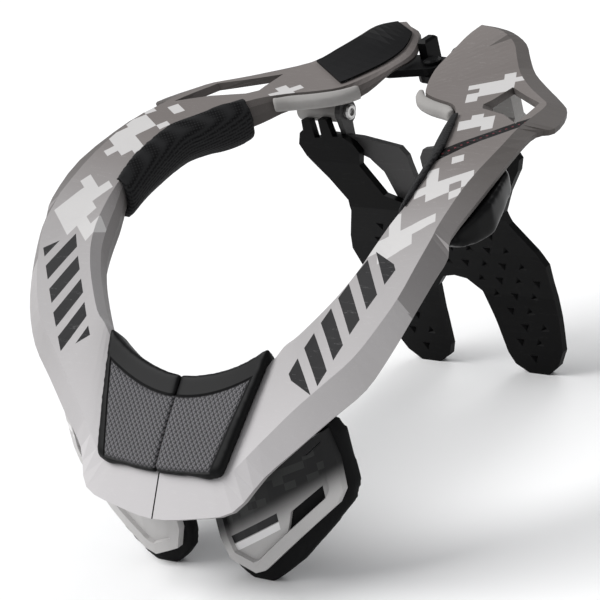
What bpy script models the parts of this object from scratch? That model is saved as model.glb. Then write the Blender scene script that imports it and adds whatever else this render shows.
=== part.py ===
"""Motocross neck brace: a two-part collar hinged behind the neck, with pads, chest plates and a back strut.

Units are metres. +X is the wearer's left, -Y the chest, +Z up, and the four feet stand on z = 0.
"""
import math

import bmesh
import bpy
from mathutils import Vector

MM = 0.001

# Overall sizes of the collar
HALF_WIDTH = 135 * MM
FRONT_DEPTH = 147.6 * MM
REAR_DEPTH = 147 * MM
HEIGHT = 193 * MM

# Walls, thicknesses and clearances
COLLAR_WALL = 3.0 * MM
SEAM_GAP = 0.3 * MM
GAP = 0.3 * MM
PAD_THICKNESS = 4.2 * MM
WEAVE_THICKNESS = 0.8 * MM
BADGE_THICKNESS = 1.0 * MM
CUSHION_THICKNESS = 6.5 * MM
CUSHION_DEPTH = 9 * MM
CUSHION_HANG = 17 * MM
CUSHION_REACH = 3 * MM
CUSHION_TUCK = 8 * MM
NARROW_WIDTH = 14 * MM
BUMPER_THICKNESS = 5.5 * MM
BUMPER_HEIGHT = 8.5 * MM

# Rear hinge
HINGE_Y = REAR_DEPTH * 0.8844
LEAF_THICKNESS = 4 * MM
LEAF_REACH = HALF_WIDTH * 0.326
LEAF_FRONT = REAR_DEPTH * 0.7857
LEAF_REAR = REAR_DEPTH * 0.966
KNUCKLE_RADIUS = 9 * MM
PIN_RADIUS = 3 * MM
PIN_HEAD_RADIUS = 5 * MM
PIN_HEAD_HEIGHT = 2.2 * MM
LEAF_TOP = HEIGHT * 0.93 - COLLAR_WALL - GAP
LEAF_FRONT_CORNER = 4 * MM
LEAF_REAR_CORNER = 8 * MM
SEAT_INSET = 2 * MM
SEAT_REAR = LEAF_REAR - 10 * MM
SEAT_SINK = 1 * MM
# Posts that stand on the leaves between the ends of the rear plates
POST_OUTER = HALF_WIDTH * 0.09
POST_INNER = {"right": HALF_WIDTH * 0.05, "left": HALF_WIDTH * 0.071}
POST_TOP = {"right": HEIGHT * 0.965, "left": HEIGHT * 0.943}
POST_FRONT = REAR_DEPTH * 0.918
POST_REAR = REAR_DEPTH * 0.993
POST_SLOPE = 1.5 * MM

# Brackets under the rear plates
BARREL_Y = REAR_DEPTH * 0.6973
BARREL_Z = HEIGHT * 0.8135
BARREL_RADIUS = 6 * MM
BARREL_INNER = HALF_WIDTH * 0.3444
BARREL_OUTER = HALF_WIDTH * 0.548
WEB_THICKNESS = 8 * MM
BRACKET_TOP = HEIGHT * 0.9284 - COLLAR_WALL - GAP

# Back strut and its yoke
STRUT_THICKNESS = 4.2 * MM
STRUT_TOP_Y = BARREL_Y - BARREL_RADIUS - GAP - STRUT_THICKNESS
STRUT_RUN = REAR_DEPTH * 0.1837
YOKE_THICKNESS = 3.5 * MM
EAR_THICKNESS = 3.5 * MM
EAR_RADIUS = 7 * MM
EAR_START = math.radians(-70)
EAR_SWEEP = math.radians(275)
EAR_STEPS = 15
BOLT_HEAD_RADIUS = 4.2 * MM
BOLT_HEAD_HEIGHT = 2.6 * MM
BOLT_SHANK_RADIUS = 2.5 * MM
BOLT_LENGTH = 14 * MM
SOCKET_RADIUS = 2.1 * MM
SOCKET_DEPTH = 1.6 * MM
DIMPLE_SIZE = 8 * MM
DIMPLE_DEPTH = 1.6 * MM
DIMPLE_LIFT = 0.4 * MM
DIMPLE_SPACING = 12.5 * MM
DIMPLE_LOW = 10 * MM
DIMPLE_HIGH = HEIGHT * 0.518
EAR_ROOT_Z = HEIGHT * 0.7306

# Chest plates
CHEST_Y = -FRONT_DEPTH * 0.8164
CHEST_CURVE = 4.3
CHEST_CENTER = HALF_WIDTH * 0.237
SHELL_THICKNESS = 4 * MM
SHELL_RIM = 6 * MM
SHELL_RECESS = 2.2 * MM
FOAM_THICKNESS = 7 * MM
ARM_THICKNESS = 5 * MM
SLOT_FRONT = 10 * MM
SLOT_REAR = 30 * MM
FOAM_STEP = 0.3005
ARM_LOW = HEIGHT * FOAM_STEP + GAP
ARM_START = 2.5
ARM_END = 3.3

# Stations along one half of the collar, from the front seam to the end of the rear plate. The columns are
# the neck edge, the ridge and the outer lower edge, each as x, y and z in shares of HALF_WIDTH, the depth
# and HEIGHT, then the inner wall's bulge and drop in millimetres.
STATIONS = (
    # neck edge              ridge                    outer edge               bulge drop
    (0.000, -0.715, 0.503, 0.000, -0.918, 0.338, 0.000, -1.000, 0.241, 3.0, 14.0),
    (0.222, -0.688, 0.528, 0.160, -0.912, 0.341, 0.190, -0.985, 0.254, 3.0, 14.0),
    (0.385, -0.642, 0.580, 0.296, -0.900, 0.345, 0.366, -0.952, 0.278, 3.5, 15.0),
    (0.448, -0.612, 0.622, 0.433, -0.825, 0.424, 0.459, -0.856, 0.347, 5.0, 18.0),
    (0.504, -0.585, 0.648, 0.561, -0.751, 0.502, 0.583, -0.786, 0.414, 6.0, 20.0),
    (0.592, -0.501, 0.705, 0.674, -0.687, 0.563, 0.704, -0.716, 0.479, 6.0, 20.0),
    (0.637, -0.446, 0.741, 0.778, -0.626, 0.620, 0.825, -0.646, 0.542, 6.0, 20.0),
    (0.667, -0.395, 0.772, 0.849, -0.547, 0.683, 0.901, -0.565, 0.618, 6.0, 20.0),
    (0.687, -0.331, 0.805, 0.896, -0.469, 0.738, 0.950, -0.469, 0.691, 6.0, 20.0),
    (0.700, -0.252, 0.837, 0.927, -0.383, 0.797, 0.988, -0.361, 0.760, 5.0, 19.0),
    (0.707, -0.197, 0.855, 0.935, -0.290, 0.839, 1.000, -0.301, 0.791, 3.0, 17.0),
    (0.712, -0.155, 0.867, 0.934, -0.235, 0.861, 0.993, -0.255, 0.834, 1.5, 15.0),
    (0.710, -0.048, 0.899, 0.927, -0.054, 0.908, 1.005, -0.070, 0.886, 1.5, 14.0),
    (0.678, 0.122, 0.930, 0.918, 0.162, 0.937, 0.972, 0.189, 0.921, 1.5, 13.0),
    (0.630, 0.209, 0.932, 0.892, 0.290, 0.942, 0.948, 0.325, 0.922, 1.5, 12.0),
    (0.572, 0.310, 0.935, 0.882, 0.380, 0.942, 0.995, 0.368, 0.922, 1.5, 15.0),
    (0.502, 0.418, 0.933, 0.852, 0.510, 0.936, 0.940, 0.512, 0.918, 1.2, 14.0),
    (0.415, 0.500, 0.926, 0.778, 0.574, 0.934, 0.840, 0.601, 0.919, 0.5, 9.5),
    (0.304, 0.541, 0.925, 0.659, 0.662, 0.931, 0.714, 0.696, 0.918, 0.5, 9.5),
    (0.215, 0.588, 0.925, 0.526, 0.774, 0.932, 0.566, 0.811, 0.920, 0.5, 9.5),
    (0.166, 0.669, 0.928, 0.455, 0.851, 0.951, 0.490, 0.885, 0.938, 2.5, 8.0),
    (0.124, 0.777, 0.934, 0.391, 0.924, 0.971, 0.424, 0.954, 0.959, 3.0, 3.5),
    (0.111, 0.872, 0.946, 0.322, 0.955, 0.993, 0.345, 0.983, 0.981, 3.5, 5.8),
    (0.126, 0.941, 0.968, 0.245, 0.976, 0.998, 0.260, 1.000, 0.989, 3.5, 7.0),
    (0.150, 0.975, 0.983, 0.190, 0.990, 0.999, 0.205, 1.004, 0.992, 3.5, 7.0),
)
STEPS_PER_STATION = 3
# Lines between the neck edge and the ridge on the top face, as shares of the way
TOP_SHARES = (0.33, 0.67)
# Where the neck edge, the ridge and the outer edge come in the section's outside line
NECK = 3
RIDGE = NECK + len(TOP_SHARES) + 1
OUTER = RIDGE + 1

# Where the fitted pieces lie along the stations
PAD_END = 2.1
WEAVE_END = 1.84
CUSHION_START = 10.9
CUSHION_END = 15.7
NARROW_START = 12.6
NARROW_END = 13.8
BUMPER_START = 16.5
BUMPER_END = 19.6
BADGE_START = 19.1
BADGE_END = 23.2
BADGE_SHARES = (0.08, 0.33, 0.67, 0.93)
# How far the cushion's lobe hangs below the beam, as station and share of CUSHION_HANG
LOBE_PROFILE = (
    (10.95, 0.0), (11.08, 0.06), (11.45, 0.68), (12.0, 1.0), (12.5, 0.74), (12.85, 0.6),
    (13.0, 0.3), (13.2, 0.0),
)

# Corners of the vent: the station, the share of the way from the neck edge to the ridge, and how far out
# of the middle the corner still is at the bottom
VENT_CORNERS = (
    (14.45, 0.90, 0.95), (16.05, 0.14, 0.45), (17.2, 0.48, 0.95), (18.2, 0.84, 0.98), (16.3, 0.95, 0.90),
)
VENT_WALL = 2.4 * MM
VENT_DEPTH = 4.0 * MM
VENT_RISE = 6 * MM
VENT_SINK = 0.8 * MM


def remove_start_objects():
    for item in list(bpy.data.objects):
        bpy.data.objects.remove(item, do_unlink=True)


def make_material(name, color, roughness, metallic=0.0):
    material = bpy.data.materials.new(name)
    material.use_nodes = True
    shader = material.node_tree.nodes["Principled BSDF"]
    shader.inputs["Base Color"].default_value = (*color, 1.0)
    shader.inputs["Roughness"].default_value = roughness
    shader.inputs["Metallic"].default_value = metallic
    material.diffuse_color = (*color, 1.0)
    return material


def add_object(name, bm, material, smooth_angle=40):
    bmesh.ops.recalc_face_normals(bm, faces=bm.faces)
    if bm.calc_volume(signed=True) < 0:
        bmesh.ops.reverse_faces(bm, faces=bm.faces)
    mesh = bpy.data.meshes.new(name)
    bm.to_mesh(mesh)
    bm.free()
    mesh.materials.append(material)
    mesh.shade_smooth()
    mesh.set_sharp_from_angle(angle=math.radians(smooth_angle))
    item = bpy.data.objects.new(name, mesh)
    bpy.context.scene.collection.objects.link(item)
    return item


def make_cutter(item):
    item.hide_render = True
    item.display_type = "WIRE"
    return item


def add_boolean(item, tool, operation):
    modifier = item.modifiers.new(tool.name, "BOOLEAN")
    modifier.object = tool
    modifier.operation = operation
    modifier.solver = "EXACT"


def loft(rings, closed_ends=True):
    """Join rings of equally many points into one tube with flat ends."""
    bm = bmesh.new()
    rows = [[bm.verts.new(point) for point in ring] for ring in rings]
    count = len(rows[0])
    for row, after in zip(rows, rows[1:]):
        for i in range(count):
            j = (i + 1) % count
            bm.faces.new((row[i], row[j], after[j], after[i]))
    if closed_ends:
        bm.faces.new(list(reversed(rows[0])))
        bm.faces.new(rows[-1])
    return bm


def flip(points, side):
    return [Vector((side * point.x, point.y, point.z)) for point in points]


def curve_value(before, start, end, after, t):
    """Catmull-Rom value between start and end."""
    return 0.5 * (2 * start + (end - before) * t + (2 * before - 5 * start + 4 * end - after) * t * t
                  + (3 * start - before - 3 * end + after) * t * t * t)


def mirrored(row):
    """A station's row on the other side of the front seam."""
    return [-value if column in (0, 3, 6) else value for column, value in enumerate(row)]


def station_row(place):
    last = len(STATIONS) - 1
    index = min(int(place), last - 1)
    t = place - index
    rows = [STATIONS[max(0, min(last, index + step))] for step in (-1, 0, 1, 2)]
    if index == 0:
        rows[0] = mirrored(STATIONS[1])
    return [curve_value(a, b, c, d, t) for a, b, c, d in zip(*rows)]


def scaled(x, y, z):
    depth = FRONT_DEPTH if y < 0 else REAR_DEPTH
    return Vector((x * HALF_WIDTH, y * depth, z * HEIGHT))


class Section:
    """The collar's cross-section at one place along its stations, on the wearer's left."""

    def __init__(self, place):
        row = station_row(place)
        self.neck = scaled(*row[0:3])
        self.ridge = scaled(*row[3:6])
        self.outer = scaled(*row[6:9])
        self.bulge = row[9] * MM
        self.drop = row[10] * MM
        across = self.outer - self.neck
        self.across = Vector((across.x, across.y, 0)).normalized()
        step = 0.05
        ahead = scaled(*station_row(min(place + step, len(STATIONS) - 1))[0:3])
        behind = scaled(*station_row(max(place - step, 0))[0:3])
        along = ahead - behind
        self.inward = Vector((along.y, -along.x, 0)).normalized()
        if self.inward.dot(self.across) < 0:
            self.inward.negate()
        self.wall_low = self.neck - self.inward * self.bulge * 0.6 - Vector((0, 0, self.drop))
        self.wall_mid = self.neck - self.inward * self.bulge - Vector((0, 0, self.drop * 0.62))
        self.wall_high = self.neck - self.inward * self.bulge * 0.75 - Vector((0, 0, self.drop * 0.25))

    def outside(self):
        middle = [self.neck.lerp(self.ridge, share) for share in TOP_SHARES]
        return [self.wall_low, self.wall_mid, self.wall_high, self.neck] + middle + [self.ridge, self.outer]

    def direction(self, index):
        return self.inward if index <= NECK else self.across

    def offset(self, distance):
        """The outside line moved along its own normals, positive to the outside."""
        points = self.outside()
        flat = [((p - self.neck).dot(self.direction(i)), p.z) for i, p in enumerate(points)]
        normals = []
        for (x0, z0), (x1, z1) in zip(flat, flat[1:]):
            length = math.hypot(x1 - x0, z1 - z0)
            normals.append(((z0 - z1) / length, (x1 - x0) / length))
        moved = []
        for i, point in enumerate(points):
            before = normals[max(i - 1, 0)]
            after = normals[min(i, len(normals) - 1)]
            dot = before[0] * after[0] + before[1] * after[1]
            scale = distance / max(1 + dot, 0.5)
            moved.append(point + self.direction(i) * (before[0] + after[0]) * scale
                         + Vector((0, 0, (before[1] + after[1]) * scale)))
        return moved

    def top(self, share, height=0.0):
        """A point on the top face, from the neck edge (0) to the ridge (1), raised by height."""
        rise = self.ridge - self.neck
        run = rise.dot(self.across)
        length = math.hypot(run, rise.z)
        normal = self.across * (-rise.z / length) + Vector((0, 0, run / length))
        return self.neck + rise * share + normal * height


def places(start, end):
    """The collar's own ring places between start and end, with both ends."""
    step = 1 / STEPS_PER_STATION
    first = math.floor(start / step) + 1
    last = math.ceil(end / step) - 1
    return [start] + [i * step for i in range(first, last + 1)] + [end]


def build_collar(side, label, material):
    rings = []
    for place in places(0, len(STATIONS) - 1):
        section = Section(place)
        ring = section.outside() + list(reversed(section.offset(-COLLAR_WALL)))
        if place == 0:
            ring = [Vector((SEAM_GAP / 2, p.y, p.z)) for p in ring]
        rings.append(flip(ring, side))
    collar = add_object("collar_" + label, loft(rings), material, 18)
    frame = build_vent_prism(side, "vent_frame_" + label, VENT_WALL, False, material)
    hole = build_vent_prism(side, "vent_hole_" + label, 0.0, True, material)
    add_boolean(collar, frame, "UNION")
    add_boolean(collar, hole, "DIFFERENCE")
    return collar


def build_vent_prism(side, name, margin, is_hole, material):
    """The vent's funnel: a sloped prism through the plate, or the wall around it."""
    top = [Section(place).top(share) for place, share, _ in VENT_CORNERS]
    center = sum(top, Vector()) / len(top)
    high = VENT_RISE if is_hole else -VENT_SINK
    low = VENT_DEPTH + (VENT_SINK if is_hole else 0.0)
    rings = []
    for lift in (high, -low):
        ring = []
        for point, (_, _, inward) in zip(top, VENT_CORNERS):
            out = point - center
            out.z = 0
            share = 1.0 if lift > 0 else 1.0 + (1.0 - inward) * lift / VENT_DEPTH
            moved = center + out * share + out.normalized() * margin
            ring.append(Vector((moved.x, moved.y, point.z + lift)))
        rings.append(flip(ring, side))
    return make_cutter(add_object(name, loft(rings), material))


def build_front_pad(side, label, material):
    rings = []
    for place in places(0, PAD_END):
        section = Section(place)
        under = section.offset(2 * GAP)
        over = section.offset(2 * GAP + PAD_THICKNESS)
        ring = [section.top(0.995, 2 * GAP), section.top(0.5, 2 * GAP), under[NECK], under[NECK - 1],
                over[NECK - 1], over[NECK], section.top(0.06, 2 * GAP + PAD_THICKNESS),
                section.top(0.5, 2 * GAP + PAD_THICKNESS * 1.08), section.top(0.95, 2 * GAP + PAD_THICKNESS),
                section.top(0.995, 2 * GAP + PAD_THICKNESS * 0.55)]
        if place == 0:
            ring = [Vector((SEAM_GAP / 2, p.y, p.z)) for p in ring]
        rings.append(flip(ring, side))
    return add_object("front_pad_" + label, loft(rings), material, 50)


def build_front_weave(side, label, material):
    rings = []
    for place in places(0, WEAVE_END):
        section = Section(place)
        low = 3 * GAP + PAD_THICKNESS * 1.08
        ring = [section.top(0.90, low), section.top(0.5, low), section.top(0.14, low),
                section.top(0.14, low + WEAVE_THICKNESS), section.top(0.5, low + WEAVE_THICKNESS),
                section.top(0.90, low + WEAVE_THICKNESS)]
        if place == 0:
            ring = [Vector((SEAM_GAP / 2, p.y, p.z)) for p in ring]
        rings.append(flip(ring, side))
    return add_object("front_weave_" + label, loft(rings), material)


def table_value(rows, place):
    """Straight-line value at a place in a table of places and values."""
    for (x0, y0), (x1, y1) in zip(rows, rows[1:]):
        if place <= x1:
            break
    share = max(0.0, min(1.0, (place - x0) / (x1 - x0)))
    return y0 + (y1 - y0) * share


def bell(place, start, end):
    """Rises from 0 at start to 1 and back to 0 at end, with round shoulders."""
    t = (place - start) / (end - start)
    if t <= 0 or t >= 1:
        return 0.0
    return (4 * t * (1 - t)) ** 0.35


def build_shoulder_pad(side, label, material):
    """A cushion that wraps the neck edge, runs under the beam and ends in a lobe outside it."""
    rings = []
    up = Vector((0, 0, 1))
    for place in places(CUSHION_START, CUSHION_END):
        section = Section(place)
        fill = 0.35 + 0.65 * bell(place, CUSHION_START - 0.1, CUSHION_END + 0.1)
        thick = CUSHION_THICKNESS * fill
        lobe = table_value(LOBE_PROFILE, place)
        near = section.offset(2 * GAP)
        inner = section.offset(-COLLAR_WALL)
        hang = CUSHION_DEPTH * fill
        width = min(1.0, max(0.0, (NARROW_END - place) / (NARROW_END - NARROW_START)))
        under_inner = inner[0] - up * 3 * GAP
        narrow = under_inner + section.inward * NARROW_WIDTH
        outer_low = section.outer - up * (2.5 * MM + CUSHION_HANG * lobe + hang * 0.2 * (1 - lobe))
        outer_low = (narrow - up * hang * 0.8).lerp(outer_low, width)
        reach = section.across * (CUSHION_REACH * lobe - CUSHION_TUCK * (1 - lobe)) * width
        under_outer = inner[OUTER] - up * 3 * GAP + section.across * (1.2 * MM - CUSHION_TUCK * (1 - lobe))
        under_outer = narrow.lerp(under_outer, width)
        ring = [
            section.top(0.05, 2 * GAP), section.top(0.05, thick * 0.35), near[NECK] + up * thick * 0.3,
            near[2] - section.inward * thick * 0.85, near[1] - section.inward * thick,
            near[0] - section.inward * thick * 0.7 - up * hang * 0.4,
            section.wall_low - up * hang,
            outer_low + reach * 0.4 - up * 1.0 * MM,
            outer_low + reach + up * 2.0 * MM,
            under_outer + section.across * (1.0 * MM + 2 * MM * lobe) - up * 0.8 * MM,
            under_outer - section.across * 2 * MM,
            under_inner + section.inward * 2 * MM,
            near[0] - up * 3 * GAP, near[1], near[2], near[NECK],
        ]
        rings.append(flip(ring, side))
    return add_object("shoulder_pad_" + label, loft(rings), material, 60)


def build_bumper(side, label, material):
    rings = []
    up = Vector((0, 0, 1))
    for place in places(BUMPER_START, BUMPER_END):
        section = Section(place)
        fill = 0.45 + 0.55 * bell(place, BUMPER_START - 0.05, BUMPER_END + 0.05)
        thick = BUMPER_THICKNESS * fill
        base = section.neck - section.inward * (section.bulge + GAP + 0.2 * MM)
        out = -section.inward
        ring = [base - up * 0.8 * MM, base - up * BUMPER_HEIGHT,
                base - up * BUMPER_HEIGHT + out * thick * 0.6,
                base - up * BUMPER_HEIGHT * 0.75 + out * thick,
                base - up * BUMPER_HEIGHT * 0.3 + out * thick, base - up * 0.8 * MM + out * thick * 0.5]
        rings.append(flip(ring, side))
    return add_object("rear_bumper_" + label, loft(rings), material, 60)


def build_badge(material):
    rings = []
    for place in places(BADGE_START, BADGE_END):
        section = Section(place)
        ring = ([section.top(share, 2 * GAP) for share in BADGE_SHARES]
                + [section.top(share, 2 * GAP + BADGE_THICKNESS) for share in reversed(BADGE_SHARES)])
        rings.append(flip(ring, -1))
    return add_object("badge_panel", loft(rings), material)


def disc(center, radius, count, start=0.0, turn=math.tau):
    steps = count + (0 if turn == math.tau else 1)
    angles = [start + turn * i / count for i in range(steps)]
    return [center + Vector((math.cos(angle), math.sin(angle), 0)) * radius for angle in angles]


def slab(outline, low, high):
    return loft([[Vector((p.x, p.y, low)) for p in outline], [Vector((p.x, p.y, high)) for p in outline]])


def leaf_outline(side, reach):
    """A leaf with a round knuckle end about the hinge axis, seen from above."""
    axis = Vector((0, HINGE_Y, 0))
    end = disc(axis, KNUCKLE_RADIUS, 10, math.radians(90), math.radians(180))
    body = [Vector((reach * 0.45, LEAF_FRONT, 0)), Vector((reach, LEAF_FRONT + LEAF_FRONT_CORNER, 0)),
            Vector((reach, LEAF_REAR - LEAF_REAR_CORNER, 0)),
            Vector((reach * 0.5, LEAF_REAR - SEAT_INSET, 0))]
    return flip(end + body, side)


def add_post(leaf, side, label, low, material):
    """A block on a leaf that fills the space between the rear plates."""
    rings = []
    for z, inset in ((low, 0.0), (POST_TOP[label] - POST_SLOPE, 0.0), (POST_TOP[label], POST_SLOPE)):
        inner = POST_INNER[label] + inset * 0.5
        outer = POST_OUTER - inset * 0.5
        front = POST_FRONT + inset
        rear = POST_REAR - inset
        rings.append(flip([Vector((inner, front, z)), Vector((outer, front, z)),
                           Vector((outer, rear, z)), Vector((inner, rear, z))], side))
    add_boolean(leaf, make_cutter(add_object("post_" + label, loft(rings), material)), "UNION")


def build_hinge(material):
    """Two lapped leaves under the rear plates and the pin that joins them."""
    axis = Vector((0, HINGE_Y, 0))
    split = LEAF_TOP - LEAF_THICKNESS
    upper = add_object("link_leaf_right", slab(leaf_outline(-1, LEAF_REACH), split, LEAF_TOP), material)
    lower_top = split - GAP
    lower_low = lower_top - LEAF_THICKNESS
    lower = add_object("link_leaf_left", slab(leaf_outline(1, LEAF_REACH), lower_low, lower_top), material)
    seat_front = LEAF_FRONT + SEAT_INSET
    seat_inner = KNUCKLE_RADIUS + LEAF_REAR_CORNER
    seat_outer = LEAF_REACH - SEAT_INSET
    block = [Vector((seat_inner, seat_front, 0)), Vector((seat_outer, seat_front, 0)),
             Vector((seat_outer, SEAT_REAR, 0)), Vector((seat_inner, SEAT_REAR, 0))]
    seat = make_cutter(add_object("leaf_seat", slab(block, lower_top - SEAT_SINK, LEAF_TOP), material))
    add_boolean(lower, seat, "UNION")
    add_post(upper, -1, "right", split + SEAT_SINK, material)
    add_post(lower, 1, "left", lower_top - SEAT_SINK, material)
    round_hole = slab(disc(axis, PIN_RADIUS + GAP, 16), lower_low - LEAF_THICKNESS, LEAF_TOP + LEAF_THICKNESS)
    bore = make_cutter(add_object("pin_bore", round_hole, material))
    add_boolean(upper, bore, "DIFFERENCE")
    add_boolean(lower, bore, "DIFFERENCE")
    low = lower_low - GAP
    high = LEAF_TOP + GAP
    profile = (
        (low - PIN_HEAD_HEIGHT, PIN_HEAD_RADIUS * 0.75), (low - PIN_HEAD_HEIGHT * 0.6, PIN_HEAD_RADIUS),
        (low, PIN_HEAD_RADIUS), (low, PIN_RADIUS), (high, PIN_RADIUS), (high, PIN_HEAD_RADIUS),
        (high + PIN_HEAD_HEIGHT * 0.6, PIN_HEAD_RADIUS), (high + PIN_HEAD_HEIGHT, PIN_HEAD_RADIUS * 0.7),
    )
    rings = [[Vector((p.x, p.y, z)) for p in disc(axis, radius, 16)] for z, radius in profile]
    add_object("link_pin", loft(rings), material)


def barrel_ring(x, radius, count=20):
    turns = [math.tau * i / count for i in range(count)]
    return [Vector((x, BARREL_Y + radius * math.cos(a), BARREL_Z + radius * math.sin(a))) for a in turns]


def build_bracket(side, label, material):
    """A barrel along X with a web that hangs it from the rear plate."""
    half = WEB_THICKNESS / 2
    start = math.acos(half / BARREL_RADIUS)
    sweep = math.pi + 2 * start
    count = 18
    outline = []
    for i in range(count + 1):
        angle = start - sweep * i / count
        y = BARREL_Y + BARREL_RADIUS * math.cos(angle)
        outline.append((y, BARREL_Z + BARREL_RADIUS * math.sin(angle)))
    outline.append((BARREL_Y - half, BRACKET_TOP))
    outline.append((BARREL_Y + half, BRACKET_TOP))
    rings = [flip([Vector((x, y, z)) for y, z in outline], side) for x in (BARREL_INNER, BARREL_OUTER)]
    return add_object("bracket_" + label, loft(rings), material)


def build_bolt(material):
    """The hex socket bolt through the right ear into the bracket's barrel."""
    face = -(BARREL_INNER - GAP - EAR_THICKNESS - GAP)
    profile = (
        (face - BOLT_LENGTH, BOLT_SHANK_RADIUS), (face, BOLT_SHANK_RADIUS), (face, BOLT_HEAD_RADIUS),
        (face + BOLT_HEAD_HEIGHT * 0.7, BOLT_HEAD_RADIUS),
        (face + BOLT_HEAD_HEIGHT, BOLT_HEAD_RADIUS * 0.8), (face + BOLT_HEAD_HEIGHT, SOCKET_RADIUS),
        (face + BOLT_HEAD_HEIGHT - SOCKET_DEPTH, SOCKET_RADIUS),
    )
    rings = [barrel_ring(x, radius) for x, radius in profile]
    return add_object("yoke_bolt", loft(rings), material)


# The strut's half outline, from the middle of its top notch down its outer edge to the arch between its
# legs, as x and z in shares of HALF_WIDTH and HEIGHT. Clip fingers stand at its top.
STRUT_OUTLINE = (
    (0.0000, 0.5440), (0.1037, 0.5544), (0.1926, 0.5751), (0.2667, 0.6684), (0.2444, 0.7098),
    (0.2667, 0.7358), (0.3111, 0.7565), (0.3630, 0.7565), (0.3704, 0.8083), (0.4148, 0.8083),
    (0.4222, 0.7513), (0.4593, 0.7487), (0.4593, 0.8031), (0.5037, 0.8031), (0.5111, 0.7720),
    (0.5333, 0.7617), (0.5556, 0.7254), (0.5333, 0.6891), (0.4519, 0.6166), (0.3926, 0.5492),
    (0.4000, 0.5130), (0.4704, 0.4197), (0.4926, 0.3731), (0.4778, 0.3109), (0.4593, 0.1969),
    (0.4296, 0.0829), (0.3852, 0.0311), (0.3259, 0.0000), (0.2296, 0.0000), (0.1704, 0.0259),
    (0.1481, 0.0622), (0.1333, 0.1813), (0.1148, 0.2642), (0.0593, 0.3031), (0.0000, 0.3109),
)
# The strut's front face: the height as a share of HEIGHT, and how far behind its top as a share of STRUT_RUN
STRUT_PROFILE = (
    (0.0, 1.0), (0.062, 0.963), (0.155, 0.889), (0.259, 0.778), (0.332, 0.648), (0.404, 0.519),
    (0.528, 0.259), (0.674, 0.093), (0.808, 0.0),
)


def strut_depth(z):
    """Depth of the strut's front face at a height, from its profile."""
    return STRUT_TOP_Y + STRUT_RUN * table_value(STRUT_PROFILE, z / HEIGHT)


def full_outline(half):
    """Mirror a half outline whose first and last points are in the middle."""
    right = [(x * HALF_WIDTH, z * HEIGHT) for x, z in half]
    left = [(-x, z) for x, z in reversed(right) if x > 0]
    return right + left


def bent_plate(outline, front, thickness):
    """A plate cut to an outline in X and Z and bent to the strut's profile."""
    bm = loft([[Vector((x, 0, z)) for x, z in outline], [Vector((x, thickness, z)) for x, z in outline]])
    for height, _ in STRUT_PROFILE[1:-1]:
        geometry = bm.verts[:] + bm.edges[:] + bm.faces[:]
        bmesh.ops.bisect_plane(bm, geom=geometry, plane_co=(0, 0, height * HEIGHT), plane_no=(0, 0, 1))
    for vertex in bm.verts:
        vertex.co.y += strut_depth(vertex.co.z) + front
    return bm


def edge_distance(outline, x, z):
    """Distance from a point to an outline, negative outside it."""
    nearest = 1.0
    inside = False
    for (x0, z0), (x1, z1) in zip(outline, outline[1:] + outline[:1]):
        reached = (x - x0) * (x1 - x0) + (z - z0) * (z1 - z0)
        run = max(0.0, min(1.0, reached / ((x1 - x0) ** 2 + (z1 - z0) ** 2)))
        nearest = min(nearest, math.hypot(x - x0 - run * (x1 - x0), z - z0 - run * (z1 - z0)))
        if (z0 > z) != (z1 > z) and x < x0 + (z - z0) * (x1 - x0) / (z1 - z0):
            inside = not inside
    return nearest if inside else -nearest


def build_dimples(outline, material):
    """Staggered rows of triangular dimples in the strut's lower arms."""
    bm = bmesh.new()
    row = 0
    z = DIMPLE_LOW
    while z < DIMPLE_HIGH:
        x = -DIMPLE_SPACING * (6 + 0.5 * (row % 2))
        while x < DIMPLE_SPACING * 7:
            if edge_distance(outline, x, z) > DIMPLE_SIZE:
                turn = math.radians(90 + 60 * ((row + round(x / DIMPLE_SPACING)) % 2))
                angles = [turn + math.tau * i / 3 for i in range(3)]
                outer = []
                for angle in angles:
                    corner_z = z + DIMPLE_SIZE / 2 * math.sin(angle)
                    corner_y = strut_depth(corner_z) - DIMPLE_LIFT
                    outer.append(bm.verts.new((x + DIMPLE_SIZE / 2 * math.cos(angle), corner_y, corner_z)))
                tip = bm.verts.new((x, strut_depth(z) + DIMPLE_DEPTH, z))
                bm.faces.new(outer)
                for i in range(3):
                    bm.faces.new((outer[i], tip, outer[(i + 1) % 3]))
            x += DIMPLE_SPACING
        z += DIMPLE_SPACING * 0.8
        row += 1
    return make_cutter(add_object("dimples", bm, material))


def build_strut(material):
    outline = full_outline(STRUT_OUTLINE)
    strut = add_object("thoracic_strut", bent_plate(outline, 0.0, STRUT_THICKNESS), material, 25)
    add_boolean(strut, build_dimples(outline, material), "DIFFERENCE")
    return strut


# The yoke's half outline, from the bottom of its middle slot down and round its wing, as x and z in shares of
# HALF_WIDTH and HEIGHT
YOKE_OUTLINE = (
    (0.0000, 0.4974), (0.1704, 0.4974), (0.1519, 0.5596), (0.1778, 0.6425), (0.2296, 0.6839),
    (0.2815, 0.6995), (0.4222, 0.7098), (0.4444, 0.7565), (0.2444, 0.7487), (0.0593, 0.7254),
    (0.0333, 0.6995), (0.0259, 0.6218), (0.0222, 0.5596), (0.0000, 0.5492),
)


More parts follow.
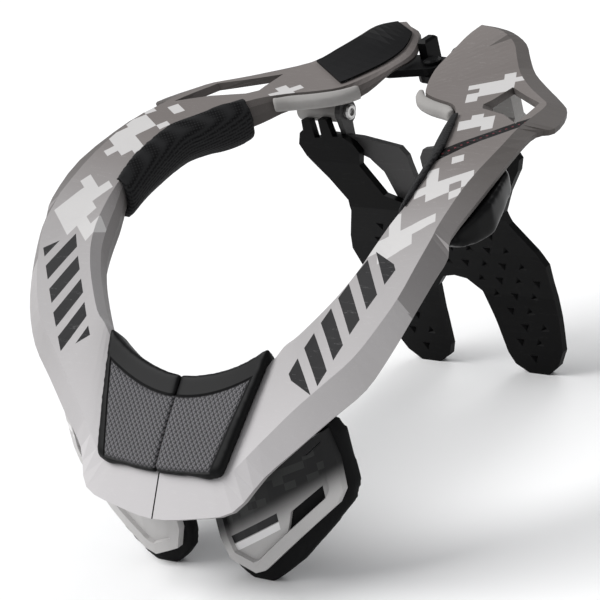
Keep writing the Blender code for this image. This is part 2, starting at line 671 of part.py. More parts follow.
def build_yoke(material):
    """Two wings behind the strut, joined below a slot, with an ear beside each bracket's barrel."""
    front = STRUT_THICKNESS + GAP
    plate = bent_plate(full_outline(YOKE_OUTLINE), front, YOKE_THICKNESS)
    yoke = add_object("thoracic_yoke", plate, material, 25)
    wing_z = EAR_ROOT_Z - GAP
    wing_y = strut_depth(wing_z) + front
    for side, label in SIDES:
        outline = []
        for i in range(EAR_STEPS + 1):
            angle = EAR_START + EAR_SWEEP * i / EAR_STEPS
            y = BARREL_Y + EAR_RADIUS * math.cos(angle)
            outline.append((y, BARREL_Z + EAR_RADIUS * math.sin(angle)))
        outline.append((wing_y + 0.4 * MM, wing_z))
        outline.append((wing_y + YOKE_THICKNESS + 3 * MM, wing_z))
        far = BARREL_INNER - GAP
        rings = [flip([Vector((x, y, z)) for y, z in outline], side) for x in (far - EAR_THICKNESS, far)]
        ear = make_cutter(add_object("ear_" + label, loft(rings), material))
        add_boolean(yoke, ear, "UNION")
    bore_radius = BOLT_SHANK_RADIUS + GAP
    rings = [barrel_ring(x, bore_radius) for x in (-BARREL_INNER, -BARREL_INNER + 2 * EAR_THICKNESS)]
    add_boolean(yoke, make_cutter(add_object("ear_bore", loft(rings), material)), "DIFFERENCE")
    return yoke


def chest_depth(x):
    """Depth of the chest shell's front face at a distance from the middle."""
    return CHEST_Y + CHEST_CURVE * (abs(x) - CHEST_CENTER) ** 2


# Chest plate outlines on the wearer's left, as x and z in shares of HALF_WIDTH and HEIGHT,
# clockwise from the top inner corner
SHELL_OUTLINE = (
    (0.1037, 0.3212), (0.3704, 0.3627), (0.4593, 0.3938), (0.5556, 0.4093), (0.6593, 0.4456),
    (0.6778, 0.3627), (0.6741, 0.2746), (0.6444, 0.2383), (0.4593, 0.1347), (0.3037, 0.0466),
    (0.2519, 0.0337), (0.1333, 0.0622), (0.1037, 0.1192),
)
FOAM_OUTLINE = (
    (0.0815, 0.3005), (0.4889, 0.3005), (0.5185, 0.3731), (0.6222, 0.4456), (0.6593, 0.4663),
    (0.6889, 0.4249), (0.6963, 0.2798), (0.6667, 0.2280), (0.5778, 0.1606), (0.4444, 0.0699),
    (0.3556, 0.0259), (0.2963, 0.0000), (0.1926, 0.0000), (0.1481, 0.0207), (0.1037, 0.0518),
    (0.0815, 0.1036),
)
SLOT_CORNERS = (
    (0.4296, 0.1606), (0.4593, 0.2176), (0.6000, 0.2902), (0.6000, 0.2539),
)
BEND_PLACES = (0.18, 0.3, 0.385, 0.474, 0.563, 0.652)


def chest_plate(outline, side, front, thickness, rim=0.0, recess=0.0):
    bm = loft([[Vector((x * HALF_WIDTH, 0, z * HEIGHT)) for x, z in outline],
               [Vector((x * HALF_WIDTH, thickness, z * HEIGHT)) for x, z in outline]])
    bmesh.ops.recalc_face_normals(bm, faces=bm.faces)
    if rim > 0:
        face = min(bm.faces, key=lambda f: f.calc_center_median().y)
        bmesh.ops.inset_region(bm, faces=[face], thickness=rim, depth=0)
        bmesh.ops.inset_region(bm, faces=[face], thickness=0.6 * MM, depth=-recess)
    for place in BEND_PLACES:
        geometry = bm.verts[:] + bm.edges[:] + bm.faces[:]
        bmesh.ops.bisect_plane(bm, geom=geometry, plane_co=(place * HALF_WIDTH, 0, 0), plane_no=(1, 0, 0))
    for vertex in bm.verts:
        vertex.co.y += chest_depth(vertex.co.x) + front
        vertex.co.x *= side
    return bm


def seat_share(under, y):
    """How far from the ridge to the neck edge the collar's underside reaches a depth."""
    return (y - under[RIDGE].y) / (under[NECK].y - under[RIDGE].y)


def build_chest(side, label, materials):
    shell = add_object("chest_shell_" + label,
                       chest_plate(SHELL_OUTLINE, side, 0.0, SHELL_THICKNESS, SHELL_RIM, SHELL_RECESS),
                       materials["shell"], 30)
    rings = []
    for y in (CHEST_Y - SLOT_FRONT, CHEST_Y + SLOT_REAR):
        rings.append(flip([Vector((x * HALF_WIDTH, y, z * HEIGHT)) for x, z in SLOT_CORNERS], side))
    slot = make_cutter(add_object("shell_slot_" + label, loft(rings), materials["shell"]))
    add_boolean(shell, slot, "DIFFERENCE")
    add_object("chest_foam_" + label,
               chest_plate(FOAM_OUTLINE, side, SHELL_THICKNESS + GAP, FOAM_THICKNESS), materials["foam"], 30)
    rings = []
    for place in (ARM_START, ARM_END):
        under = Section(place).offset(-COLLAR_WALL - GAP)
        x = under[RIDGE].x
        ring = []
        for depth in (0.0, ARM_THICKNESS):
            for _ in range(4):
                y = chest_depth(x) + SHELL_THICKNESS + 2 * GAP
                x = under[RIDGE].lerp(under[NECK], seat_share(under, y)).x
            ring.append(under[RIDGE].lerp(under[NECK], seat_share(under, y + depth)))
        ring.append(Vector((ring[1].x, ring[1].y, ARM_LOW)))
        ring.append(Vector((ring[0].x, ring[0].y, ARM_LOW)))
        rings.append(flip(ring, side))
    add_object("chest_arm_" + label, loft(rings), materials["black"])


SIDES = ((1, "left"), (-1, "right"))


def build():
    remove_start_objects()
    materials = {
        "collar": make_material("collar_grey", (0.46, 0.44, 0.43), 0.5),
        "black": make_material("black_plastic", (0.02, 0.02, 0.02), 0.45),
        "foam": make_material("black_foam", (0.015, 0.015, 0.015), 0.8),
        "weave": make_material("grey_weave", (0.35, 0.35, 0.36), 0.9),
        "rubber": make_material("grey_rubber", (0.42, 0.42, 0.40), 0.6),
        "yoke": make_material("dark_grey_plastic", (0.09, 0.09, 0.09), 0.5),
        "shell": make_material("light_grey_plastic", (0.55, 0.54, 0.53), 0.5),
        "steel": make_material("bolt_steel", (0.5, 0.5, 0.5), 0.3, 1.0),
    }
    for side, label in SIDES:
        build_collar(side, label, materials["collar"])
        build_front_pad(side, label, materials["foam"])
        build_front_weave(side, label, materials["weave"])
        build_shoulder_pad(side, label, materials["foam"])
        build_bumper(side, label, materials["rubber"])
        bracket = build_bracket(side, label, materials["rubber"])
        if side < 0:
            ends = (-BARREL_INNER - BOLT_LENGTH, -BARREL_INNER + GAP)
            rings = [barrel_ring(x, BOLT_SHANK_RADIUS + GAP) for x in ends]
            bore = make_cutter(add_object("barrel_bore", loft(rings), materials["steel"]))
            add_boolean(bracket, bore, "DIFFERENCE")
        build_chest(side, label, materials)
    build_badge(materials["black"])
    build_hinge(materials["black"])
    build_yoke(materials["yoke"])
    build_bolt(materials["steel"])
    build_strut(materials["black"])


build()
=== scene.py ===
# %% [markdown]
# # Motocross neck brace
# The CAD model gives every hard part its size and place. This script dresses it: moulded plastic, foam,
# mesh covers and graphics, and the soft pads are made anew. Lengths are metres, +X is the wearer's left,
# -Y the chest, and the feet stand on z = 0.

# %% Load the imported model
import math

import bmesh
import bpy
from mathutils import Matrix, Vector


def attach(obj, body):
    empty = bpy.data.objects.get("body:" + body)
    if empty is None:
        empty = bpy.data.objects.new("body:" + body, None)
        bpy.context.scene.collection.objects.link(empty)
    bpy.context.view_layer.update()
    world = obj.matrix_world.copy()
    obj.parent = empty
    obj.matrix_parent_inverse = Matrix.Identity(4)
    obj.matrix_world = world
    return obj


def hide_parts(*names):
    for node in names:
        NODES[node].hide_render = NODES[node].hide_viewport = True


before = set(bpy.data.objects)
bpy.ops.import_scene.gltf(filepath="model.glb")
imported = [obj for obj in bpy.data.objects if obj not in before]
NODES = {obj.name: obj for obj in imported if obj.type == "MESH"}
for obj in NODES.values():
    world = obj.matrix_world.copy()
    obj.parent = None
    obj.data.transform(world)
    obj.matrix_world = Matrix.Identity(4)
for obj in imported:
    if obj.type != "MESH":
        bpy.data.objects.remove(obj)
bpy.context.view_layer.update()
MM = 0.001
SIDES = ((1, "left"), (-1, "right"))


# %% [markdown]
# ## Shader maths
# A material is a small sum over the surface, so it is written as one. `Wire` wraps a socket and turns
# Python's operators into Math nodes, and `Maker` adds any other node by its type.

# %% A socket that can be added and multiplied
class Wire:
    def __init__(self, maker, socket):
        self.maker = maker
        self.socket = socket

    def math(self, operation, *others):
        return self.maker.node("ShaderNodeMath", {"operation": operation}, [self, *others])

    def __add__(self, other):
        return self.math("ADD", other)

    __radd__ = __add__

    def __mul__(self, other):
        return self.math("MULTIPLY", other)

    __rmul__ = __mul__

    def __sub__(self, other):
        return self.math("SUBTRACT", other)

    def __rsub__(self, other):
        return self.maker.node("ShaderNodeMath", {"operation": "SUBTRACT"}, [other, self])

    def __truediv__(self, other):
        return self.math("DIVIDE", other)

    def __gt__(self, other):
        return self.math("GREATER_THAN", other)

    def __lt__(self, other):
        return self.math("LESS_THAN", other)

    def absolute(self):
        return self.math("ABSOLUTE")

    def floor(self):
        return self.math("FLOOR")

    def fraction(self):
        return self.math("FRACT")

    def larger(self, other):
        return self.math("MAXIMUM", other)

    def smaller(self, other):
        return self.math("MINIMUM", other)

    def step(self, low, high):
        """0 below low, 1 above high, smooth in between."""
        return self.maker.node("ShaderNodeMapRange", {"interpolation_type": "SMOOTHSTEP"},
                               {"Value": self, "From Min": low, "From Max": high}, "Result")

    def wave(self, period):
        """A sine from 0 to 1 that repeats after each period."""
        return (self * (math.tau / period)).math("SINE") * 0.5 + 0.5


# %% A maker of nodes for one material
class Maker:
    def __init__(self, name):
        self.material = bpy.data.materials.new(name)
        self.material.use_nodes = True
        self.tree = self.material.node_tree
        self.shader = self.tree.nodes["Principled BSDF"]
        self.point = self.node("ShaderNodeTexCoord", {}, {}, "Object")
        self.x, self.y, self.z = self.parts(self.point)

    def node(self, kind, settings=None, values=None, output=0):
        made = self.tree.nodes.new(kind)
        for key, value in (settings or {}).items():
            setattr(made, key, value)
        pairs = enumerate(values) if isinstance(values, (list, tuple)) else (values or {}).items()
        for key, value in pairs:
            self.feed(made.inputs[key], value)
        return Wire(self, made.outputs[output])

    def feed(self, socket, value):
        if isinstance(value, Wire):
            self.tree.links.new(value.socket, socket)
        elif isinstance(value, (tuple, list)) and socket.type == "RGBA":
            socket.default_value = (*value[:3], 1.0)
        else:
            socket.default_value = value

    def mix(self, factor, first, second):
        """Between two colours."""
        made = self.tree.nodes.new("ShaderNodeMix")
        made.data_type = "RGBA"
        for index, value in ((0, factor), (6, first), (7, second)):
            self.feed(made.inputs[index], value)
        return Wire(self, made.outputs[2])

    def turned(self, angles, scale=(1, 1, 1)):
        """The object's own coordinates, turned and scaled."""
        return self.node("ShaderNodeMapping", {},
                         {"Vector": self.point, "Rotation": angles, "Scale": scale})

    def direction(self):
        """The three parts of the way that the surface faces."""
        return self.parts(self.node("ShaderNodeTexCoord", {}, {}, "Normal"))

    def parts(self, vector):
        """The x, y and z of a vector."""
        made = self.tree.nodes.new("ShaderNodeSeparateXYZ")
        self.feed(made.inputs[0], vector)
        return [Wire(self, made.outputs[i]) for i in range(3)]

    def noise(self, scale, detail=2.0, vector=None):
        return self.node("ShaderNodeTexNoise", {},
                         {"Vector": vector or self.point, "Scale": scale, "Detail": detail}, "Fac")

    def dice(self, vector):
        """One random number for each whole step of a vector."""
        return self.node("ShaderNodeTexWhiteNoise", {"noise_dimensions": "3D"}, {"Vector": vector}, "Value")

    def vector(self, x, y, z):
        return self.node("ShaderNodeCombineXYZ", {}, [x, y, z])

    def bump(self, height, distance, strength=1.0, after=None):
        """A bump in metres, laid over an earlier one if there is one."""
        values = {"Height": height, "Distance": distance, "Strength": strength}
        if after is not None:
            values["Normal"] = after
        return self.node("ShaderNodeBump", {}, values, "Normal")

    def finish(self, color, roughness, normal=None, **others):
        """Feed the shader. Other sockets are named with underscores for spaces."""
        self.feed(self.shader.inputs["Base Color"], color)
        self.feed(self.shader.inputs["Roughness"], roughness)
        if normal is not None:
            self.feed(self.shader.inputs["Normal"], normal)
        for key, value in others.items():
            self.feed(self.shader.inputs[key.replace("_", " ")], value)
        return self.material


def dress(material, *names):
    """Give CAD nodes a material."""
    for name in names:
        NODES[name].data.materials.clear()
        NODES[name].data.materials.append(material)


def both(*stems):
    """The names of left and right pairs."""
    return [f"{stem}_{label}" for stem in stems for _, label in SIDES]


# %% [markdown]
# ## Moulded plastic
# Every moulded part has a fine satin grain from its mould, and most have a few faint scratches. A scratch is
# a line where stretched noise passes through one level.

# %% Grain and scratches for any plastic
GRAIN_SCALE = 2600.0
COARSE_GRAIN = 0.00003
FINE_GRAIN = 0.00002
SCRATCH_TURN = (0.3, 0.9, 0.4)
SCRATCH_STRETCH = (1.0, 14.0, 9.0)
SCRATCH_LEVEL = 0.62
SCRATCH_WIDTH = 0.012


def grain(maker, depth):
    fine = maker.noise(GRAIN_SCALE, 2.0)
    broad = maker.noise(90.0, 3.0)
    return maker.bump(fine + broad * 0.6, depth, 0.5)


def scuffs(maker):
    """1 on a scratch, 0 elsewhere."""
    lines = maker.noise(60.0, 4.0, maker.turned(SCRATCH_TURN, SCRATCH_STRETCH))
    return (lines - SCRATCH_LEVEL).absolute().step(SCRATCH_WIDTH, 0.0)


# %% [markdown]
# ## Graphics on the collar
# Squares of a random camouflage fill chosen areas, drawn as if seen from above. An area is tested at each
# square's middle, so its edge follows the squares. The bars and the stripe are measured in a flat frame laid
# on the beam: how far a point lies along the frame and across it are two dot products.

# %% Tools for the printed areas
FINE_SHARE = 0.25


def squares(maker, size, seed, fill, turn, corners):
    """1 inside a random share of a turned grid's squares whose middles lie inside an area.

    Part of the chance is shared by neighbours, so the squares gather in clumps.
    """
    c, s = math.cos(turn), math.sin(turn)
    u = ((maker.x * c + maker.y * s) / size).floor()
    v = ((maker.y * c - maker.x * s) / size).floor()
    fine = maker.dice(maker.vector(u, v, seed))
    broad = maker.dice(maker.vector(((u + seed) / 3.0).floor(), (v / 2.0).floor(), seed + 7.0))
    middle_u, middle_v = (u + 0.5) * (size * 1000), (v + 0.5) * (size * 1000)
    x = middle_u * c - middle_v * s
    y = middle_u * s + middle_v * c
    chance = fine * FINE_SHARE + broad * (1.0 - FINE_SHARE)
    return inside(x, y, corners) * (chance > (1.0 - fill))


def inside(x, y, corners):
    """1 inside a convex area seen from above, whose corners go anticlockwise, in millimetres."""
    area = 1.0
    for (x0, y0), (x1, y1) in zip(corners, corners[1:] + corners[:1]):
        length = math.hypot(x1 - x0, y1 - y0)
        nx, ny = -(y1 - y0) / length, (x1 - x0) / length
        area = ((x * nx + y * ny - (nx * x0 + ny * y0)) > 0.0) * area
    return area


def distance(maker, origin, axis):
    """How far a point lies along an axis from an origin, in millimetres."""
    length = math.sqrt(sum(a * a for a in axis))
    a, b, c = (value / length for value in axis)
    start = a * origin[0] + b * origin[1] + c * origin[2]
    return (maker.x * a + maker.y * b + maker.z * c) * 1000 - start


# %% Colours and places of the collar's graphics
WHITE = (0.80, 0.79, 0.79)
CHARCOAL = (0.008, 0.008, 0.009)
FRONT_GREY = (0.55, 0.534, 0.54)
BEAM_GREY = (0.41, 0.396, 0.398)
REAR_GREY = (0.165, 0.148, 0.141)
CLOUD_GREY = (0.20, 0.19, 0.185)
# where along y one grey turns into the next
FRONT_TO_BEAM = (-0.135, -0.080)
BEAM_TO_REAR = (-0.090, 0.030)
# the colour of the painted shade on faces that look sideways or down and on the bevel
SHADE_GREY = (0.055, 0.050, 0.047)
SEAM_BLACK = (0.01, 0.01, 0.01)
SEAM_HALF = 0.00045

# the camouflage's areas have corners in millimetres, seen from above
CAMO_GREY = (0.58, 0.57, 0.565)
CAMO_SQUARE = 0.0062
CAMO_FILL = 0.62
CAMO_TURN = 0.55
CAMO_AREAS = {
    1: (((86, -54), (112, -50), (122, -26), (92, -26)),
        ((92, -18), (126, -18), (124, 16), (94, 8)),
        ((52, 74), (66, 80), (84, 100), (70, 116), (54, 96)),
        ((78, 40), (98, 40), (108, 50), (86, 58), (74, 62))),
    -1: (((-122, -54), (-88, -56), (-92, -26), (-116, -26)),
         ((-126, -6), (-98, -6), (-100, 28), (-106, 44), (-122, 44)),
         ((-66, 64), (-34, 84), (-28, 100), (-50, 114), (-66, 96))),
}

# the bars' frame: a point in the middle, the way along, the way across and the half length
BAR_FRAMES = {
    1: ((90, -79, 131), (0.372, 0.662, 0.648), (0.927, -0.283, -0.246), 37.0),
    -1: ((-94, -80, 130), (-0.542, 0.593, 0.593), (-0.839, -0.403, -0.366), 32.0),
}
BAR_PITCH = 14.5
BAR_HALF_WIDTH = 10.0
BAR_SLANT = 0.55
BAR_HALF_SHARE = 0.30

# the stripe on the wearer's left, with its row of dots
STRIPE_ORIGIN = (93, 13, 0)
STRIPE_ACROSS = (0.811, -0.586, 0)
STRIPE_ALONG = (0.586, 0.811, 0)
STRIPE_HALF_WIDTH = 3.9
STRIPE_BLACK = (0.005, 0.0045, 0.0048)
DOT_PITCH = 3.4
DOT_HALF_SHARE = 0.16
DOT_HALF_WIDTH = 0.55
DOT_COLOR = (0.16, 0.03, 0.04)

# The bevel outside the ridge leans out more than the top face does, and a limit tells them apart. Both lean
# out more in front, so the limit rises there. Behind, the bevel faces back, which counts as leaning out.
BEVEL_LIMIT = 0.13
BEVEL_LIMIT_PER_METRE = -6.3
BEVEL_LIMIT_RISE = 0.5
BEVEL_BACK = (0.03, 0.07)
TOP_LIMIT = 0.45


# %% The collar's material
def make_collar(name, side):
    m = Maker(name)
    rear = m.y.step(*BEAM_TO_REAR)
    cloud = m.noise(14.0, 3.0)
    grey = m.mix(rear, m.mix(m.y.step(*FRONT_TO_BEAM), FRONT_GREY, BEAM_GREY), REAR_GREY)
    grey = m.mix(cloud * 0.15, grey, CLOUD_GREY)
    out, back, up = m.direction()
    lean = out * side + back.larger(0.0) * m.y.step(*BEVEL_BACK)
    rise = (m.y * BEVEL_LIMIT_PER_METRE).larger(0.0).smaller(BEVEL_LIMIT_RISE)
    bevel = lean > rise + BEVEL_LIMIT
    top = (up > TOP_LIMIT) * (1.0 - bevel)
    # the camouflage
    pale = 0.0
    for number, corners in enumerate(CAMO_AREAS[side]):
        seed = 3.0 + side + number * 2.0
        pale = squares(m, CAMO_SQUARE, seed, CAMO_FILL, CAMO_TURN * side, corners).larger(pale)
    color = m.mix(pale * top * 0.9, grey, CAMO_GREY)
    # plain slanted bars along the beam
    origin, along, across, half_length = BAR_FRAMES[side]
    u = distance(m, origin, along)
    v = distance(m, origin, across)
    slant = (u + v * BAR_SLANT) / BAR_PITCH
    bar = (slant.fraction() - 0.5).absolute() < BAR_HALF_SHARE
    lane = (v.absolute() < BAR_HALF_WIDTH) * (u.absolute() < half_length)
    color = m.mix(bar * lane * top * 0.985, color, CHARCOAL)
    if side > 0:
        # one narrow black stripe across the beam, with a row of plain dots
        u = distance(m, STRIPE_ORIGIN, STRIPE_ALONG)
        v = distance(m, STRIPE_ORIGIN, STRIPE_ACROSS)
        color = m.mix((v.absolute() < STRIPE_HALF_WIDTH) * top, color, STRIPE_BLACK)
        dot = ((u / DOT_PITCH).fraction() - 0.5).absolute() < DOT_HALF_SHARE
        color = m.mix(dot * (v.absolute() < DOT_HALF_WIDTH) * top, color, DOT_COLOR)
    color = m.mix(scuffs(m) * 0.10, color, WHITE)
    # painted shade: faces that look sideways or down are darker, and so is the bevel, more so towards the
    # rear
    shade = (1.0 - up.step(-0.1, 0.5)) * (rear * 0.2 + 0.5)
    color = m.mix(shade.larger(bevel * (rear * 0.17 + 0.46)), color, SHADE_GREY)
    # the seam in front is a dark line
    color = m.mix(m.x.absolute() < SEAM_HALF, color, SEAM_BLACK)
    return m.finish(color, 0.46 + cloud * 0.12, grain(m, COARSE_GRAIN), Specular_IOR_Level=0.10)


dress(make_collar("collar_grey_left", 1), "collar_left")
dress(make_collar("collar_grey_right", -1), "collar_right")

# normals weighted by face area make the streaks of the solid's long thin triangles fainter
for NAME in both("collar"):
    NODES[NAME].modifiers.new("even_shading", "WEIGHTED_NORMAL").keep_sharp = True


# %% [markdown]
# ## Plain parts
# The strut, the rear link and the chest arms are smooth black plastic, the yoke is dark grey and the brackets
# are mid grey. They differ in colour, roughness and gloss.

# %% Plain plastics
BLACK_PLASTIC = ((0.0020, 0.0020, 0.0022), (0.0045, 0.0045, 0.0048))
DARK_PLASTIC = ((0.046, 0.045, 0.045), (0.062, 0.060, 0.060))
GREY_PLASTIC = ((0.27, 0.26, 0.25), (0.34, 0.33, 0.32))


def make_plastic(name, colors, roughness, gloss):
    """Plastic that wanders between two colours, with paler scratches."""
    m = Maker(name)
    dark, light = colors
    cloud = m.noise(22.0, 3.0)
    tone = m.mix(cloud * 0.5, dark, light)
    tone = m.mix(scuffs(m) * 0.25, tone, [c * 2.2 + 0.02 for c in light])
    return m.finish(tone, roughness + cloud * 0.14, grain(m, FINE_GRAIN), Specular_IOR_Level=gloss)


dress(make_plastic("black_satin_plastic", BLACK_PLASTIC, 0.34, 0.06),
      "thoracic_strut", *both("link_leaf"), "link_pin", *both("chest_arm"))
dress(make_plastic("dark_grey_plastic", DARK_PLASTIC, 0.42, 0.2), "thoracic_yoke")
dress(make_plastic("bracket_grey", GREY_PLASTIC, 0.42, 0.35), *both("bracket"))


# %% Steel bolt with a turned face
BOLT_Y = 0.1025
BOLT_Z = 0.157
TURNING_PITCH = 0.00035


def make_steel():
    """Steel with the fine rings that turning leaves round the bolt's axis."""
    m = Maker("bolt_steel")
    squared = (m.z - BOLT_Z) * (m.z - BOLT_Z) + (m.y - BOLT_Y) * (m.y - BOLT_Y)
    rings = (squared.math("SQRT") / TURNING_PITCH).fraction()
    cloud = m.noise(400.0)
    return m.finish(m.mix(cloud, (0.40, 0.40, 0.40), (0.62, 0.61, 0.60)), 0.26 + cloud * 0.15,
                    m.bump(rings, 0.00003), Metallic=1.0)


dress(make_steel(), "yoke_bolt")


# %% [markdown]
# ## Chest plates
# Light grey shells with a recessed face. The one on the wearer's left fades to black upwards, with dark
# squares over it and a dark and a pale stripe below. Only the recess is printed there, and it is found by its
# depth behind the shell's curved front. The one on the wearer's right has a few pale squares.

# %% The shells' material
SHELL_LIGHT = (0.50, 0.49, 0.485)
SHELL_DARK = (0.38, 0.37, 0.36)
SHELL_BLACK = (0.004, 0.004, 0.0044)
SHELL_SQUARE = (0.020, 0.021, 0.020)
SHELL_STRIPE = (0.012, 0.012, 0.013)
# the shell's front lies at y = -SHELL_FRONT + SHELL_CURVE * (|x| - SHELL_MIDDLE) ** 2, in millimetres
SHELL_FRONT = 120.5
SHELL_MIDDLE = 32.0
SHELL_CURVE = 0.0043
RECESS_DEPTH = 1.2
FRONT_LIMIT = -0.75
# the stripes rise outwards by one in two, so a stripe is a band of z - x / 2
BAND_SLOPE = 0.51
STRIPE_END = 54.0
CELL_WIDTH = 6.2
CELL_HEIGHT = 4.0
CELL_SLOPE = 0.35


def make_shell(name, side):
    m = Maker(name)
    cloud = m.noise(25.0, 3.0)
    color = m.mix(cloud * 0.3, SHELL_LIGHT, SHELL_DARK)
    facing = m.direction()[1] < FRONT_LIMIT
    from_middle = m.x.absolute() * 1000 - SHELL_MIDDLE
    depth = m.y * 1000 + SHELL_FRONT - from_middle * from_middle * SHELL_CURVE
    recess = (depth > RECESS_DEPTH) * facing
    x = m.x * (side * 1000)
    z = m.z * 1000
    band = z - x * BAND_SLOPE
    row = ((z - x * CELL_SLOPE) / CELL_HEIGHT).floor()
    cell = m.dice(m.vector((x / CELL_WIDTH).floor(), 0.0, row))
    if side > 0:
        color = m.mix(band.step(5.0, 22.0), color, SHELL_BLACK)
        color = m.mix((cell > 0.60) * (band > 20.0) * recess * 0.9, color, SHELL_SQUARE)
        short = (x < STRIPE_END) * recess
        color = m.mix(((band - 11.25).absolute() < 2.25) * short, color, SHELL_STRIPE)
        color = m.mix(((band - 6.5).absolute() < 2.0) * short, color, WHITE)
    else:
        color = m.mix((cell > 0.80) * (band > 16.0) * facing * 0.7, color, WHITE)
    return m.finish(color, 0.42 + cloud * 0.1, grain(m, COARSE_GRAIN), Specular_IOR_Level=0.2)


for SIDE, LABEL in SIDES:
    dress(make_shell("shell_grey_" + LABEL, SIDE), "chest_shell_" + LABEL)


# %% The dark panel on the wearer's right plate
def make_panel():
    m = Maker("panel_black")
    cloud = m.noise(40.0, 3.0)
    color = m.mix(cloud, (0.004, 0.004, 0.0044), (0.009, 0.009, 0.0096))
    return m.finish(color, 0.42 + cloud * 0.1, grain(m, COARSE_GRAIN), Specular_IOR_Level=0.06)


dress(make_panel(), "badge_panel")


# %% [markdown]
# ## Foam and mesh covers
# The shoulder pads are foam under a fine black mesh, the front pads have a woven panel, and the chest foam
# and the bumpers are dense and plain. Moulded foam has no sharp edge and crowns between its edges, so each
# of these pieces is remade as a rounded soft form.

# %% Materials of the soft parts
MESH_PITCH = 0.0016
MESH_TURN = (0.5, 0.6, 0.78)
LOBE_START = 0.1215
LOBE_END = 0.1235


def make_mesh_fabric():
    """Fine black mesh round the neck, smooth coated foam on the lobe outside the beam."""
    m = Maker("black_mesh_fabric")
    a, b, c = (part.wave(MESH_PITCH) for part in m.parts(m.turned(MESH_TURN)))
    holes = a * b.larger(c)
    cloud = m.noise(35.0, 3.0)
    outside = m.x.absolute().step(LOBE_START, LOBE_END)
    weave = m.mix(holes, (0.022, 0.022, 0.023), (0.0015, 0.0015, 0.0018))
    weave = m.mix(cloud * 0.2, weave, (0.012, 0.012, 0.013))
    color = m.mix(outside, weave, (0.0022, 0.0022, 0.0024))
    height = (1.0 - holes) * (1.0 - outside)
    return m.finish(color, 0.72 - outside * 0.40, m.bump(height, 0.00030, 0.6), Specular_IOR_Level=0.12)


def make_foam(name, dark, light):
    m = Maker(name)
    cells = m.noise(1800.0, 3.0)
    cloud = m.noise(45.0, 3.0)
    color = m.mix(cloud * 0.6, dark, light)
    return m.finish(color, 0.70 + cloud * 0.1, m.bump(cells, 0.00010, 0.5), Specular_IOR_Level=0.12)


# The woven panel's outline in millimetres. Its top and its foot each have a height in the middle and a rise
# with x squared. Its side passes through a height and an x, with a slope.
PANEL_TOP = (97.0, 0.005)
PANEL_FOOT = (69.0, 0.0016)
PANEL_SIDE = (70.0, 35.0, 0.3147)
THREAD_PITCH = 0.00105
THREAD_STEEPNESS = 1.1
THREAD_DARK = (0.016, 0.016, 0.018)
THREAD_LIGHT = (0.240, 0.235, 0.245)
THREAD_CLOUD = (0.045, 0.044, 0.047)
BORDER_BLACK = (0.0025, 0.0025, 0.0028)


def make_front_pad():
    """Dark diagonal weave inside a smooth black border, with a groove between the two."""
    m = Maker("front_pad_foam")
    x = m.x.absolute() * 1000
    z = m.z * 1000
    from_top = (x * x * PANEL_TOP[1] + PANEL_TOP[0]) - z
    from_foot = z - (x * x * PANEL_FOOT[1] + PANEL_FOOT[0])
    from_side = (z - PANEL_SIDE[0]) * PANEL_SIDE[2] + PANEL_SIDE[1] - x
    nearest = from_top.smaller(from_foot).smaller(from_side)
    woven = nearest.step(0.0, 0.8)
    u = (m.x + m.z * THREAD_STEEPNESS) * 0.7
    v = (m.x - m.z * THREAD_STEEPNESS) * 0.7
    rising = u.wave(THREAD_PITCH * 2) * v.wave(THREAD_PITCH)
    falling = v.wave(THREAD_PITCH * 2) * u.wave(THREAD_PITCH)
    thread = rising.larger(falling)
    cloud = m.noise(60.0, 3.0)
    cloth = m.mix(thread, THREAD_DARK, THREAD_LIGHT)
    cloth = m.mix(cloud * 0.25, cloth, THREAD_CLOUD)
    color = m.mix(woven, BORDER_BLACK, cloth)
    groove = 1.0 - (nearest - 0.4).absolute().step(0.0, 1.3)
    relief = m.bump(1.0 - groove, 0.0012, 0.8)
    return m.finish(color, 0.48 + woven * 0.18, m.bump(thread * woven, 0.00025, 0.7, relief),
                    Specular_IOR_Level=0.12)


fabric = make_mesh_fabric()
foam = make_foam("black_foam", (0.003, 0.003, 0.0033), (0.007, 0.007, 0.0075))
rubber = make_foam("grey_rubber", (0.29, 0.28, 0.27), (0.37, 0.36, 0.35))
front = make_front_pad()


# %% A soft copy of a CAD node
SEAM_BAND = 0.6 * MM


def soften(node, material, voxel, rounds, puff, others=()):
    """Remesh a node's shape, round it off, puff it a little and let it stand for the node.

    Points beside the seam in front stay in their plane, so that the two halves still meet there.
    """
    bm = bmesh.new()
    bm.from_mesh(NODES[node].data)
    bmesh.ops.remove_doubles(bm, verts=bm.verts, dist=1e-6)
    mesh = bpy.data.meshes.new(node + "_soft")
    bm.to_mesh(mesh)
    bm.free()
    piece = bpy.data.objects.new(node + "_soft", mesh)
    bpy.context.scene.collection.objects.link(piece)
    remesh = piece.modifiers.new("remesh", "REMESH")
    remesh.mode = "VOXEL"
    remesh.voxel_size = voxel
    depsgraph = bpy.context.evaluated_depsgraph_get()
    fine = bpy.data.meshes.new_from_object(piece.evaluated_get(depsgraph))
    piece.modifiers.clear()
    bm = bmesh.new()
    bm.from_mesh(fine)
    seam = [v for v in bm.verts if abs(v.co.x) < SEAM_BAND]
    rest = [v for v in bm.verts if abs(v.co.x) >= SEAM_BAND]
    for _ in range(rounds):
        bmesh.ops.smooth_vert(bm, verts=rest, factor=0.5, use_axis_x=True, use_axis_y=True, use_axis_z=True)
        if seam:
            bmesh.ops.smooth_vert(bm, verts=seam, factor=0.5, use_axis_y=True, use_axis_z=True)
    bm.normal_update()
    for vertex in rest:
        vertex.co += vertex.normal * puff
    for face in bm.faces:
        face.smooth = True
    bm.to_mesh(mesh)
    bm.free()
    mesh.materials.clear()
    mesh.materials.append(material)
    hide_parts(node, *others)
    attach(piece, "left_half" if node.endswith("left") else "right_half")
    print(node, "soft faces", len(mesh.polygons))


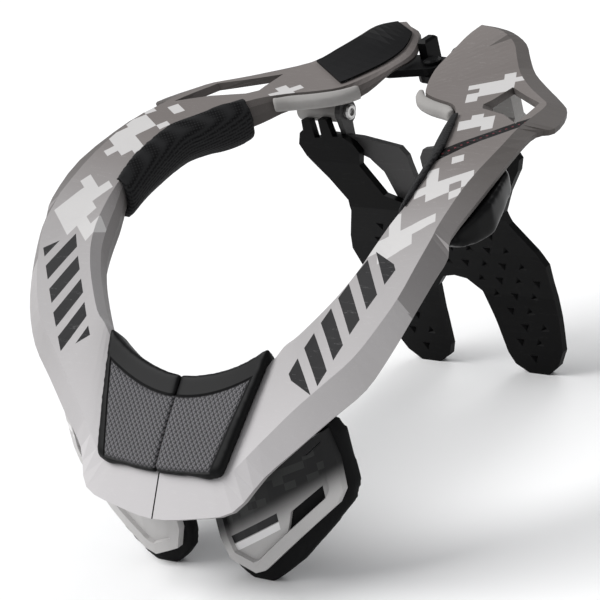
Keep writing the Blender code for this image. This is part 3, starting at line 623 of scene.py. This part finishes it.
for _, LABEL in SIDES:
    soften("shoulder_pad_" + LABEL, fabric, voxel=0.0011, rounds=8, puff=0.0004)
    soften("rear_bumper_" + LABEL, rubber, voxel=0.0008, rounds=5, puff=0.0002)
    soften("chest_foam_" + LABEL, foam, voxel=0.0012, rounds=5, puff=0.0002)
    soften("front_pad_" + LABEL, front, voxel=0.0008, rounds=24, puff=0.0005,
           others=["front_weave_" + LABEL])


# %% [markdown]
# ## The photographer's side
# The camera was fitted to mirrored pairs of features on the two halves. The light is soft, with a broad key
# from above on the wearer's right, over a pale floor.

# %% Camera
CAMERA_PLACE = Vector((1.06562, -1.09976, 0.71604))
CAMERA_RIGHT = Vector((0.75594, 0.61833, -0.21499))
CAMERA_UP = Vector((-0.08871, 0.42214, 0.90218))
CAMERA_BACK = Vector((0.64860, -0.66292, 0.37397))
camera_data = bpy.data.cameras.new("camera")
camera_data.lens = 192.0
camera_data.sensor_width = 36.0
camera = bpy.data.objects.new("camera", camera_data)
turn = Matrix((CAMERA_RIGHT, CAMERA_UP, CAMERA_BACK)).transposed().to_4x4()
camera.matrix_world = Matrix.Translation(CAMERA_PLACE) @ turn
bpy.context.scene.collection.objects.link(camera)
bpy.context.scene.camera = camera


# %% Floor
FLOOR_RADIUS = 6.0


def make_floor():
    m = Maker("pale_floor")
    cloud = m.noise(3.0)
    color = m.mix(cloud, (0.90, 0.90, 0.90), (0.93, 0.93, 0.93))
    return m.finish(color, 0.7)


bm = bmesh.new()
bmesh.ops.create_circle(bm, cap_ends=True, segments=96, radius=FLOOR_RADIUS)
floor_mesh = bpy.data.meshes.new("floor")
bm.to_mesh(floor_mesh)
bm.free()
floor_mesh.materials.append(make_floor())
floor = bpy.data.objects.new("floor", floor_mesh)
bpy.context.scene.collection.objects.link(floor)


# %% Lights
MIDDLE = Vector((0.0, 0.0, 0.1))


def add_light(name, kind, power, beam):
    """A light that shines along a beam."""
    light = bpy.data.objects.new(name, bpy.data.lights.new(name, kind))
    light.data.energy = power
    light.rotation_mode = "QUATERNION"
    light.rotation_quaternion = beam.to_track_quat("-Z", "Y")
    bpy.context.scene.collection.objects.link(light)
    return light


def add_panel(name, place, size, power):
    """A square light at a place, turned to the middle of the brace."""
    panel = add_light(name, "AREA", power, MIDDLE - Vector(place))
    panel.location = place
    panel.data.size = size


key = add_light("key_light", "SUN", 2.9, Vector((0.75, 0.42, -1.0)))
key.data.angle = math.radians(40)
add_panel("rear_light", (-0.3, 1.4, 1.2), size=0.8, power=5.0)
add_panel("edge_light", (1.4, -0.2, 0.9), size=0.5, power=0.9)

world = bpy.data.worlds.new("studio")
world.use_nodes = True
world.node_tree.nodes["Background"].inputs["Color"].default_value = (0.97, 0.98, 1.0, 1.0)
world.node_tree.nodes["Background"].inputs["Strength"].default_value = 0.42
bpy.context.scene.world = world
bpy.context.scene.view_settings.view_transform = "Standard"
